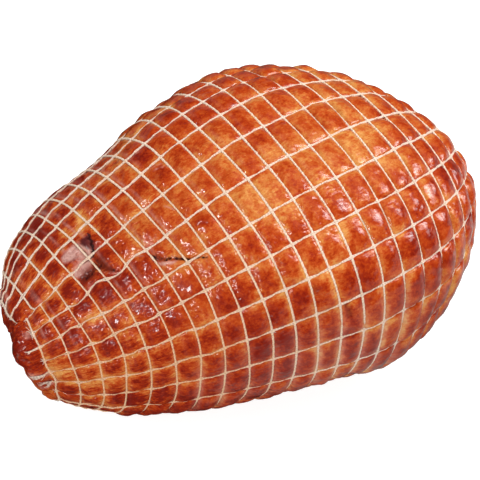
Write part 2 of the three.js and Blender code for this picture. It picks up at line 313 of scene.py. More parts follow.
def fullness(a, b):
    """Where the meat as a whole stands out or falls in, threads and all."""
    wrap = lambda centre: (b - centre + 11) % CHAINS - 11
    bump = lambda a0, b0, ra, rb: np.exp(-(((a - a0) / ra) ** 2) - (wrap(b0) / rb) ** 2)
    return 2.3 * bump(-6.0, 17.3, 1.4, 1.6) - 1.6 * bump(-3.2, 18.7, 1.2, 1.3) - 2.2 * bump(6.8, 7.6, 0.9, 0.8) + 2.0 * bump(4.0, 8.0, 1.6, 1.0) + 2.4 * bump(10.0, 2.0, 1.2, 1.3)


def shank_under(a, b):
    """Under the shank the net is drawn in flush with the meat."""
    bb = b % CHAINS
    return smooth(-7.0, -8.5, a) * smooth(6.0, 7.0, bb) * smooth(13.0, 11.0, bb)


def relief(a, b, p, size):
    """Height over the smooth shape and the colour fields, all from (a, b)."""
    i, j = np.floor(a).astype(int), np.floor(b).astype(int)
    s, t = a - i, b - j
    right = smooth(0.5, 5.0, a)
    left = smooth(-3.5, -8.0, a)
    r1, r2, r3, r4 = (scatter(i, j, k) for k in (11, 12, 13, 14))
    # each mesh of the net lets one pillow of meat through
    floor = groove_floor(a, b, p)
    wrap = lambda centre: (b - centre + 11) % CHAINS - 11
    back_left = smooth(-1.2, -3.0, a) * smooth(3.75, 2.75, np.abs(wrap(18.2))) * (1 - 0.3 * smooth(-8.0, -9.5, a))
    under = np.exp(-(((b % CHAINS) - 9.0) / 2.2) ** 2) * smooth(-9.5, -7.5, a) * smooth(2.0, -1.0, a)
    drawn_in = shank_under(a, b)
    rise = (2.45 + 1.25 * right + 0.35 * left + 1.3 * under) * (0.78 + 0.44 * r1) * (1 - 0.7 * np.maximum(back_left, drawn_in))
    es = 0.5 - 0.06 * right
    et = 0.36 + 0.04 * left
    s2 = s ** (0.82 + 0.36 * r2)
    t2 = t ** (0.85 + 0.3 * r3)
    f = np.maximum(4 * s2 * (1 - s2), 0) ** es * np.maximum(4 * t2 * (1 - t2), 0) ** et
    h = floor + rise * f
    wrinkled = np.clip(0.22 + 0.85 * (1 - 0.75 * right) * smooth(-0.35, 0.5, lumps(p, 24, 21, 2)), 0, 1)
    wrinkled = np.clip(wrinkled + 0.2 * left + 0.12 * right, 0, 1)
    h = h + fullness(a, b) + 0.9 * np.maximum(back_left * smooth(-6.0, -7.5, a), drawn_in)
    h = h + 0.5 * lumps(p, 30, 1, 1) + f * (0.38 * lumps(p, 9.5, 2) + (0.1 + 0.22 * wrinkled) * lumps(p, 4.6, 3, 1))
    # bare meat beyond the net's mouths
    bare = smooth(-11.02, -11.42, a) + smooth(12.02, 12.42, a)
    folds = 1 - np.abs(lumps(p, 15, 31, 1))
    front = np.exp(-((wrap(3.0) / 3.6) ** 2)) * smooth(-11.0, -12.0, a)
    raw = -1.0 + 8.2 * front + 1.7 * lumps(p, 15, 5) + 1.2 * lumps(p, 6.5, 6) - 1.8 * smooth(0.82, 1.0, folds)
    h = h * (1 - bare) + raw * bare
    # the net's older marks: shallow grooves beside rings and across pillows
    lu, lv = size[..., 0], size[..., 1]
    where = smooth(0.0, 0.5, lumps(p, 34, 41, 1)) * (0.25 + 0.75 * smooth(-1.5, -4.5, a)) * (1 - 0.65 * right)
    region = 0.15 + 0.85 * smooth(4.6, 2.6, np.abs((b - 20.5 + 11) % CHAINS - 11))
    where = where * region
    side = np.exp(-((((s - 0.2) * lu + 0.5 * noise(p, 12, 43)) / 0.75) ** 2)) * where
    where2 = smooth(0.12, 0.5, lumps(p + 90, 30, 42, 1)) * smooth(-1.0, -6.0, a) * region
    mid = np.exp(-((((s - 0.42 - 0.2 * (r4 - 0.5)) * lu + 0.6 * noise(p, 14, 44)) / 0.8) ** 2)) * where2
    imprint = np.clip(side + 0.8 * mid, 0, 1) * (1 - bare)
    h = h - 0.35 * imprint
    # cuts, splits and scratches; the near-black in the crevice, pit, hollow and slit is painted shade, blacker where
    # the cut is deeper
    painted_recess_shade = np.zeros_like(h)
    pale = np.zeros_like(h)
    brown = np.zeros_like(h)
    for mark, d_amount, b_amount in ((CREVICE, 1.0, 0.0), (PIT, 0.55, 1.3), (HOLLOW, 0.42, 1.0), (SLIT, 0.82, 0.9)):
        near, depth = along(p, mark)
        rim = np.clip(near * (1 - near) * 4, 0, 1)
        h = h - near * depth + rim * 0.12 * depth
        strength = np.clip(depth / 3.0, 0, 1)
        painted_recess_shade = np.maximum(painted_recess_shade, near * d_amount * (0.45 + 0.55 * strength) * smooth(0.0, 0.12, strength))
        # the brown in the pit, hollow and slit is partly the meat's brown, partly painted shade, browner where the cut
        # is deeper
        brown = np.maximum(brown, near * b_amount * strength)
    near, depth = along(p, PALE_WALL)
    h = h - near * depth
    pale = np.maximum(pale, smooth(0.12, 0.6, near) * (0.9 + 0.25 * noise(p, 3.5, 61)))
    for mark, amount in ((PALE_LIP, 0.8), (PALE_EDGE, 0.95)):
        near, _ = along(p, mark)
        pale = np.maximum(pale, smooth(0.2, 0.8, near) * amount)
    for mark in SMEARS:
        near, depth = along(p, mark)
        pale = np.maximum(pale, near * depth)
    # deep purple beside the crevice, with no relief cut for it: partly the meat's purple, partly painted shade of the
    # crevice's recess
    near, depth = along(p, PURPLE)
    purple = smooth(0.3, 0.75, near) * depth
    for mark in SCRATCHES:
        near, depth = along(p, mark)
        h = h - near * depth
        pale = np.maximum(pale, near * 0.5)
    for mark, amount in ((DIMPLE, 0.5), (DENT, 0.75)):
        near, depth = along(p, mark)
        h = h - near * depth
        brown = np.maximum(brown, near * amount)
    near, depth = along(p, RIDGE)
    h = h - near * depth
    pale = np.maximum(pale * (1 - painted_recess_shade) * (1 - 0.8 * brown), imprint * (0.42 + 0.3 * noise(p, 5, 62)) * (1 - np.clip(brown * 1.6, 0, 1)))
    # colour: 0 deep red-brown, 1 golden; the tone also carries painted light and shade, marked where it is added
    d_ring = np.minimum(s, 1 - s) * lu
    d_chain = np.minimum(t, 1 - t) * lv
    near_thread = np.maximum(np.exp(-((d_ring / 2.8) ** 2)), np.exp(-((d_chain / 4.2) ** 2)))
    wrinkled = wrinkled * (0.4 + 0.6 * np.maximum(np.exp(-((d_ring / 4.5) ** 2)), np.exp(-((d_chain / 6.0) ** 2))))
    front_rows = smooth(1.0, 2.5, b % CHAINS) * smooth(9.5, 7.5, b % CHAINS)
    wrinkled = wrinkled + 0.5 * np.exp(-(((a + 1.8) / 3.0) ** 2)) * np.exp(-((d_ring / 3.2) ** 2)) * front_rows
    wrinkled = wrinkled * (1 - 0.5 * np.exp(-((wrap(0.2) / 1.7) ** 2)) * smooth(-5.0, -2.0, a))
    cloud = lumps(p, 34, 71)
    spot = lumps(p, 12, 72)
    fleck = lumps(p, 5.0, 73)
    low = np.exp(-((((b % CHAINS) - 7.2) / 3.2) ** 2)) * (0.7 + 0.35 * smooth(-5.0, -1.5, a))
    # the top of each pillow took the most smoke: a ragged dark red core
    r5, r6 = scatter(i, j, 15), scatter(i, j, 16)
    ragged = 0.5 * lumps(p, 7.0, 74) + 0.3 * lumps(p, 3.2, 75, 1)
    far = smooth(2.0, 5.0, a)
    nearer = np.exp(-(((a + 1.5) / 2.6) ** 2) - (wrap(4.6) / 2.2) ** 2)
    lean = 1 - 2 * s
    reach = ((s - 0.38 - 0.26 * r2 - 0.15 * far) / 0.36) ** 2 + ((t - 0.36 - 0.28 * r5) / (0.3 + 0.1 * r3)) ** 2
    core = smooth(1.5, 0.45, reach + ragged)
    tone = 0.42 + 0.07 * cloud + 0.09 * spot + 0.05 * fleck - 0.11 * low
    crown = np.exp(-(((b - 0.8 + 11) % CHAINS - 11) / 2.4) ** 2) * smooth(-7.0, -3.0, a)
    # painted light from above: the tone is raised along the top ridge (crown)
    tone = tone + 0.13 * crown - (0.07 + 0.1 * r6 + 0.1 * left + 0.05 * nearer) * (1 - 0.5 * crown) * core
    # lean lifts one side of each pillow, here and in the next line: partly the smoke's golden colour, partly a painted
    # sheen
    tone = tone + (0.06 + 0.19 * smooth(-0.4, 0.6, spot + cloud)) * (1 + (0.45 * far - 0.8 * nearer) * lean) * (1 - 0.5 * crown) * (1 + 0.25 * left) * near_thread * (1 + (0.7 * smooth(-4.5, -1.5, a) - 0.5 * smooth(-4.5, -7.5, a)) * smooth(4.5, 6.5, b % CHAINS) * smooth(12.0, 10.0, b % CHAINS))
    # painted shade: the tone is lowered on the lower side of the top pillows and on the upper rows of the shank
    tone = tone + (0.06 * far - 0.04 * nearer) * lean - 0.1 * nearer - 0.04 * far - 0.07 * crown * smooth(0.55, 0.95, t) - 0.08 * left * smooth(-9.2, -7.8, a) * (smooth(17.0, 18.5, b % CHAINS) + smooth(2.5, 0.5, b % CHAINS))
    tone = tone + (r4 - 0.5) * 0.1 + 0.02 * right - 0.15 * left - 0.035 - 0.06 * smooth(6.5, 9.0, a)
    tone = tone - 0.1 * near_thread * smooth(4.0, 6.0, a) * smooth(3.8, 5.0, b % CHAINS) * smooth(11.0, 9.0, b % CHAINS)
    # painted sheen: a lighter tone beside the rings on the bottom rows
    tone = tone + 0.09 * np.exp(-((d_ring / 2.6) ** 2)) * smooth(4.6, 6.4, b % CHAINS) * smooth(10.5, 9.0, b % CHAINS) * smooth(-6.5, -4.5, a) * smooth(4.5, 1.5, a)
    for u0, v0, ru, rv, amount in GOLDEN:
        dv = (b - v0 + CHAINS / 2) % CHAINS - CHAINS / 2
        tone = tone + amount * np.exp(-(((a - u0) / ru) ** 2) - (dv / rv) ** 2) * (0.75 + 0.5 * spot)
    bb = b % CHAINS
    # painted sheen: a pale band beside the rings on the bottom rows, carried in the pale field
    pale = np.maximum(pale, (0.34 + 0.18 * cloud) * np.exp(-((d_ring / 2.4) ** 2)) * smooth(4.6, 6.4, bb) * smooth(10.5, 9.0, bb) * smooth(-6.5, -4.5, a) * smooth(6.0, 3.5, a))
    orange = smooth(2.6, 5.5, bb) * smooth(10.0, 8.0, bb)
    butt = smooth(12.02, 12.42, a)
    seam = smooth(0.86, 1.0, 1 - np.abs(lumps(p, 20, 32, 1)))
    tone = tone * (1 - bare) + (0.08 + 0.3 * orange + 0.16 * spot + 0.12 * fleck) * (bare - butt) + (0.3 + 0.28 * spot + 0.16 * fleck - 0.14 * smooth(0.82, 1.0, folds)) * butt
    pale = np.maximum(pale, butt * seam * (0.3 + 0.3 * noise(p, 6, 63)))
    wrinkled = wrinkled * (1 - bare) + 0.85 * bare + 0.5 * np.clip(brown, 0, 1)
    return h, {"tone": tone, "pale": np.clip(pale, 0, 1), "painted_recess_shade": np.clip(painted_recess_shade, 0, 1), "brown": np.clip(brown, 0, 1), "wrinkled": wrinkled, "purple": np.clip(purple, 0, 1), "fibre": np.clip(0.3 + 0.55 * left + 0.3 * spot + 0.2 * bare, 0, 1)}


# patches where the smoke left the skin golden: (u, v, reach in u, reach in v, amount)
GOLDEN = [
    (-0.6, 1.2, 1.6, 1.0, 0.14),
    (1.2, 3.0, 2.4, 1.3, 0.1),
    (3.6, 1.6, 2.6, 1.4, 0.06),
    (-6.3, 20.5, 0.9, 0.6, 0.44),
    (-6.5, 18.6, 1.0, 0.9, 0.52),
    (-5.8, 19.5, 0.8, 0.6, 0.2),
    (-9.2, 20.6, 0.9, 0.8, 0.16),
    (-7.6, 3.2, 0.9, 0.5, 0.26),
    (-5.9, 2.4, 0.7, 0.5, 0.22),
    (-8.6, 2.2, 0.6, 0.6, 0.2),
    (-10.5, 4.0, 0.8, 1.3, 0.48),
    (-9.6, 6.2, 1.8, 1.7, 0.34),
    (5.5, 1.0, 1.4, 1.2, 0.08),
    (2.0, 12.0, 3.0, 2.0, 0.15),
    (-5.0, 15.0, 2.0, 2.0, 0.15),
]

# =====================================================================
# 5. Meshes
# =====================================================================
FLOOR = 0.05


def add_object(name, verts, faces, fields=None, uv=None):
    mesh = bpy.data.meshes.new(name)
    mesh.from_pydata((np.asarray(verts) / 1000.0).tolist(), [], faces)
    mesh.update()
    mesh.polygons.foreach_set("use_smooth", np.ones(len(mesh.polygons), bool))
    for key, values in (fields or {}).items():
        values = np.asarray(values, np.float32)
        layer = mesh.attributes.new(key, "FLOAT" if values.ndim == 1 else "FLOAT_VECTOR", "POINT")
        layer.data.foreach_set("value" if values.ndim == 1 else "vector", values.ravel())
    if uv is not None:
        layer = mesh.uv_layers.new(name="UVMap")
        layer.data.foreach_set("uv", np.asarray(uv, np.float32).ravel())
    obj = bpy.data.objects.new(name, mesh)
    bpy.context.scene.collection.objects.link(obj)
    return obj


def crowd(x):
    """Moves evenly spaced mesh lines towards the threads."""
    f = x - np.floor(x)
    return np.floor(x) + f - 0.45 * np.sin(2 * math.pi * f) / (2 * math.pi)


def make_ham():
    rows = crowd(np.concatenate([np.arange(-171, -26) / 13, np.arange(-20, 137) / 10]))
    cols = crowd(np.concatenate([np.arange(10 * 17) / 17, 10 + np.arange(8 * 12) / 12, 18 + np.arange(4 * 16) / 16]))
    a, b = np.meshgrid(rows, cols, indexing="ij")
    p, n, size = place(a, b)
    h, fields = relief(a, b, p, size)
    tip = smooth(-13.2, -12.5, a) * smooth(13.7, 13.1, a)
    q = p + n * (h * (0.35 + 0.65 * tip))[..., None]
    # the ham's own weight flattens what it rests on
    q[..., 2] = np.where(q[..., 2] < 1.2, FLOOR + np.maximum(q[..., 2] - FLOOR, 0) ** 2 / (2 * (1.2 - FLOOR)) + 0.0, q[..., 2])
    nr, nc = q.shape[:2]
    verts = q.reshape(-1, 3)
    faces = []
    idx = np.arange(nr * nc).reshape(nr, nc)
    nxt = np.roll(idx, -1, 1)
    quads = np.stack([idx[:-1], nxt[:-1], nxt[1:], idx[1:]], -1).reshape(-1, 4)
    ends = np.array([q[0].mean(0), q[-1].mean(0)])
    ends[0] += (ends[0] - q[4].mean(0)) * 0.12
    ends[1] += (ends[1] - q[-5].mean(0)) * 0.12
    verts = np.concatenate([verts, ends])
    low, high = nr * nc, nr * nc + 1
    faces = quads.tolist()
    faces += [[low, int(nxt[0, c]), int(idx[0, c])] for c in range(nc)]
    faces += [[high, int(idx[-1, c]), int(nxt[-1, c])] for c in range(nc)]
    fields = {k: np.concatenate([v.ravel(), [v[0].mean(), v[-1].mean()]]) for k, v in fields.items()}
    # metres along the ham and round it, as on a drum, so that grain can follow the chains
    turn = 2 * math.pi * b / CHAINS
    drum = np.stack([0.0155 * a, 0.095 * np.cos(turn), 0.095 * np.sin(turn)], -1)
    fields["drum"] = np.concatenate([drum.reshape(-1, 3), [drum[0].mean(0), drum[-1].mean(0)]])
    return add_object("ham_meat", verts, faces, fields)


class Threads:
    """Gathers many tubes into one mesh, with the length in mm and the turn as UV."""

    def __init__(self):
        self.verts, self.faces, self.uv, self.fields, self.count = [], [], [], [], 0

    def tube(self, centre, up, radius, sides, closed=False, lobes=0.0, twist=0.0, flat=1.0, tint=0.3):
        n = len(centre)
        if closed:
            tangent = np.roll(centre, -1, 0) - np.roll(centre, 1, 0)
            step = np.linalg.norm(np.roll(centre, -1, 0) - centre, axis=1)
        else:
            tangent = np.gradient(centre, axis=0)
            step = np.append(np.linalg.norm(np.diff(centre, axis=0), axis=1), 0)
        tangent /= np.linalg.norm(tangent, axis=1, keepdims=True) + 1e-12
        run = np.concatenate([[0], np.cumsum(step)])
        side = np.cross(tangent, up)
        side /= np.linalg.norm(side, axis=1, keepdims=True) + 1e-12
        up = np.cross(side, tangent)
        radius = np.broadcast_to(radius, (n,))
        twist = np.broadcast_to(twist, (n,)) if np.ndim(twist) else twist * run[:n]
        if closed:
            twist = run[:n] / run[n] * round(twist[-1] / (2 * math.pi) + 1) * 2 * math.pi
        phi = np.arange(sides) / sides * 2 * math.pi
        r = radius[:, None] * (1 + lobes * np.cos(2 * phi))[None]
        ang = phi[None] + twist[:, None]
        ring = centre[:, None] + (r * np.cos(ang))[..., None] * side[:, None] + (r * np.sin(ang) * flat)[..., None] * up[:, None]
        base = self.count
        self.verts.append(ring.reshape(-1, 3))
        self.fields.append(np.repeat(np.broadcast_to(tint, (n,)), sides))
        self.count += n * sides
        k = np.arange(n if closed else n - 1)[:, None]
        m = np.arange(sides)[None]
        k1, m1 = (k + 1) % n, (m + 1) % sides
        quad = np.stack([k * sides + m, k * sides + m1, k1 * sides + m1, k1 * sides + m], -1).reshape(-1, 4) + base
        self.faces += quad.tolist()
        s0, s1 = run[k] + 0 * m, run[k + 1] + 0 * m
        t0, t1 = m / sides + 0 * k, (m + 1) / sides + 0 * k
        self.uv.append(np.stack([np.stack([s0, t0], -1), np.stack([s0, t1], -1), np.stack([s1, t1], -1), np.stack([s1, t0], -1)], -2).reshape(-1, 2))
        if not closed:
            for end, order in ((0, 1), (n - 1, -1)):
                tip = centre[end] + tangent[end] * radius[end] * (-0.6 if end == 0 else 0.6)
                self.verts.append(tip[None])
                self.fields.append(np.broadcast_to(tint, (n,))[end : end + 1])
                for c in range(sides):
                    one, two = base + end * sides + c, base + end * sides + (c + 1) % sides
                    self.faces.append([self.count, two, one] if end == 0 else [self.count, one, two])
                    s = run[end]
                    self.uv.append(np.array([[s, (c + 0.5) / sides], [s, (c + 1) / sides], [s, c / sides]]))
                self.count += 1

    def build(self, name):
        verts = np.concatenate(self.verts)
        verts[:, 2] = np.maximum(verts[:, 2], FLOOR)
        return add_object(name, verts, self.faces, {"tint": np.concatenate(self.fields)}, np.concatenate(self.uv))


def rest_height(a, b, p):
    """Where the middle of a taut thread runs over the smooth shape."""
    bb = b % CHAINS
    upper = smooth(16.5, 18.0, bb) + smooth(4.5, 2.0, bb)
    proud = 0.95 * smooth(3.5, 7.5, a) * upper + 0.9 * smooth(-6.0, -7.5, a) * smooth(3.75, 2.75, np.abs(bb - 18.2))
    proud = proud + 0.9 * shank_under(a, b)
    return groove_floor(a, b, p) + fullness(a, b) + 0.5 * lumps(p, 30, 1, 1) + 0.55 + proud


def tan_stain_and_low_shade(a, b):
    """Smoke has tinted the yarn tan towards the shank; the tan low on the ham is partly that stain and partly painted
    shade; whiter above.
    """
    bb = b % CHAINS
    low = np.exp(-(((bb - 6.0) / 4.5) ** 2))
    return np.clip(0.08 + 0.72 * low * smooth(3, -6, a) + 0.12 * smooth(2, -6, a), 0, 1)


def even_path(path_of, lo, hi, step, closed=False):
    """Points a chosen distance apart along a curve given by a parameter."""
    w = np.linspace(lo, hi, 3000)
    pts = path_of(w)
    run = np.concatenate([[0], np.cumsum(np.linalg.norm(np.diff(pts, axis=0), axis=1))])
    n = max(int(round(run[-1] / step)), 3)
    goal = np.linspace(0, run[-1], n + 1)
    if closed:
        goal = goal[:-1]
    return np.interp(goal, run, w)


def make_rings():
    yarn = Threads()
    for i in range(RING_MOUTH, RING_BUTT + 1):
        edge = i in (RING_MOUTH, RING_BUTT)
        b = even_path(lambda w: place(np.full_like(w, i), w)[0], 0, CHAINS, 1.12, closed=True)
        a = np.full_like(b, float(i))
        p, n, _ = place(a, b)
        h = rest_height(a, b, p) + (0.35 if edge else 0.0)
        centre = p + n * h[:, None]
        thick = 0.83 - 0.18 * smooth(0.0, -6.0, a) + 0.05 * noise(centre, 9, 81) + (0.1 if edge else 0)
        centre[:, 2] = np.maximum(centre[:, 2], thick + FLOOR)
        bb = b % CHAINS
        edge_tint = 0.05 + 0.75 * smooth(0.9, 2.2, bb) * smooth(9.0, 4.5, bb)
        tint = (edge_tint if edge else tan_stain_and_low_shade(a, b)) + 0.12 * noise(centre, 18, 82)
        yarn.tube(centre, n, thick, 8, closed=True, lobes=0.16, twist=0.75, flat=0.88, tint=np.clip(tint, 0, 1))
    return yarn.build("net_rings")


# how far a cut chain runs past the shank's last ring, then its fibres: count, reach, fan
TAIL = {0: 0.12, 1: 0.12, 2: 0.6, 3: 0.14, 4: 0.4, 5: 0.36, 6: 0.16, 21: 0.1}
FRAY = {1: (14, 0.3, 0.25), 2: (5, 0.3, 0.06), 3: (12, 0.3, 0.3), 4: (18, 0.7, 0.13), 5: (18, 0.7, 0.12), 6: (8, 0.3, 0.25)}


def tail_length(j, k):
    if k == 1 and j in TAIL:
        return TAIL[j]
    return 0.06 + 0.4 * float(scatter(np.array(k * 7), np.array(j), 91)) ** 2


def make_chains():
    yarn = Threads()
    for j in range(CHAINS):
        lo, hi = RING_MOUTH - tail_length(j, 1), RING_BUTT + 0.6 * tail_length(j, 2)
        a = even_path(lambda w: place(w, np.full_like(w, j))[0], lo, hi, 1.02)
        b = np.full_like(a, float(j))
        p, n, _ = place(a, b)
        _, _, size = place(a, b)
        ham, _ = relief(a, b, p, size)
        out = smooth(-11.0, -11.25, a) + smooth(12.0, 12.25, a)
        h = rest_height(a, b, p) * (1 - out) + (ham + 0.45) * out
        s = a - np.floor(a)
        d = np.minimum(s, 1 - s)
        left = smooth(-2.0, -8.0, a)
        wild = scatter(np.round(a), b, 95) ** 2
        centre = p + n * h[:, None]
        tangent = np.gradient(centre, axis=0)
        tangent /= np.linalg.norm(tangent, axis=1, keepdims=True)
        side = np.cross(tangent, n)
        # two strands: apart where they hold a ring, twisted half a turn between rings
        gap = 0.34 - 0.05 * left + (0.24 + 0.3 * left * wild) * np.exp(-((d / 0.1) ** 2)) + 0.03 * left
        turn = (np.floor(a) + smooth(0.25, 0.75, s)) * math.pi
        over = 0.42 * np.exp(-((d / 0.07) ** 2))
        for sign in (1, -1):
            off = side * (sign * gap * np.cos(turn))[:, None] + n * (sign * 0.4 * np.sin(turn) + over)[:, None]
            line = centre + off
            thick = 0.5 - 0.05 * left + 0.05 * noise(line, 5, 83 + sign)
            line[:, 2] = np.maximum(line[:, 2], thick + FLOOR)
            upper = smooth(17.0, 18.5, b) + smooth(2.5, 0.5, b)
            tint = tan_stain_and_low_shade(a, b) + (0.1 - 0.2 * upper) * left + 0.2 * noise(line, 14, 84) - 0.3 * out
            yarn.tube(line, n, thick, 6, lobes=0.0, twist=0.0, flat=0.95, tint=np.clip(tint, 0, 1))
    return yarn.build("net_chains")


def make_ends():
    """Frayed fibres where the chains were cut."""
    yarn = Threads()
    rng = np.random.default_rng(20)
    for j in range(CHAINS):
        for end, way in ((RING_MOUTH - tail_length(j, 1), -1), (RING_BUTT + 0.6 * tail_length(j, 2), 1)):
            count, longest, spread = FRAY.get(j, (5, 0.25, 0.2)) if way < 0 else (4, 0.3, 0.2)
            for _ in range(count):
                reach = longest * rng.uniform(0.4, 1.0)
                fan = rng.normal(0, spread)
                lift = rng.uniform(0.0, 0.9)
                w = np.linspace(0, 1, 7)
                a = end - way * 0.12 + way * reach * w
                b = j + fan * w**1.4 + 0.02 * np.sin(w * 4 + rng.uniform(0, 6))
                a = np.clip(a, U0 + 0.05, U1 - 0.05)
                p, n, size = place(a, b)
                ham, _ = relief(a, b, p, size)
                line = p + n * (ham + 0.5 + lift * w**1.5)[:, None]
                line[:, 2] = np.maximum(line[:, 2], 0.3 + FLOOR)
                yarn.tube(line, n, 0.2 * (1 - 0.4 * w), 4, tint=0.0)
    return yarn.build("net_ends")


ham = make_ham()
rings = make_rings()
chains = make_chains()
ends = make_ends()


# =====================================================================
# 6. Materials
# =====================================================================
class Graph:
    """Short hand for building a node tree."""

    def __init__(self, name):
        self.material = bpy.data.materials.new(name)
        self.material.use_nodes = True
        self.tree = self.material.node_tree
        self.tree.nodes.clear()

    def node(self, kind, inputs=None, **props):
        n = self.tree.nodes.new(kind)
        for k, v in props.items():
            setattr(n, k, v)
        for k, v in (inputs or {}).items():
            socket = n.inputs[k]
            if isinstance(v, bpy.types.NodeSocket):
                self.tree.links.new(v, socket)
            else:
                socket.default_value = v
        return n

    def math(self, op, x, y=None, clamp=False):
        n = self.node("ShaderNodeMath", {0: x} if y is None else {0: x, 1: y}, operation=op, use_clamp=clamp)
        return n.outputs[0]

    def field(self, name):
        return self.node("ShaderNodeAttribute", attribute_name=name).outputs["Fac"]

    def mix(self, factor, one, two, mode="MIX"):
        n = self.tree.nodes.new("ShaderNodeMix")
        n.data_type = "RGBA"
        n.blend_type = mode
        for socket, value in ((n.inputs[0], factor), (n.inputs[6], one), (n.inputs[7], two)):
            if isinstance(value, bpy.types.NodeSocket):
                self.tree.links.new(value, socket)
            else:
                socket.default_value = value
        return n.outputs[2]

    def noise(self, scale, detail=2.0, rough=0.5, distortion=0.0, vector=None, kind="FBM"):
        inputs = {"Scale": scale, "Detail": detail, "Roughness": rough, "Distortion": distortion}
        if vector is not None:
            inputs["Vector"] = vector
        return self.node("ShaderNodeTexNoise", inputs, noise_type=kind).outputs["Fac"]

    def ramp(self, factor, stops):
        n = self.node("ShaderNodeValToRGB", {"Fac": factor})
        ramp = n.color_ramp
        while len(ramp.elements) < len(stops):
            ramp.elements.new(0.5)
        for e, (at, colour) in zip(ramp.elements, stops):
            e.position = at
            e.color = (*colour, 1.0)
        return n.outputs["Color"]

    def range(self, value, lo, hi, to_lo=0.0, to_hi=1.0):
        n = self.node("ShaderNodeMapRange", {"Value": value, "From Min": lo, "From Max": hi, "To Min": to_lo, "To Max": to_hi}, interpolation_type="SMOOTHSTEP")
        return n.outputs["Result"]

    def finish(self, shader):
        self.node("ShaderNodeOutputMaterial", {"Surface": shader})
        return self.material


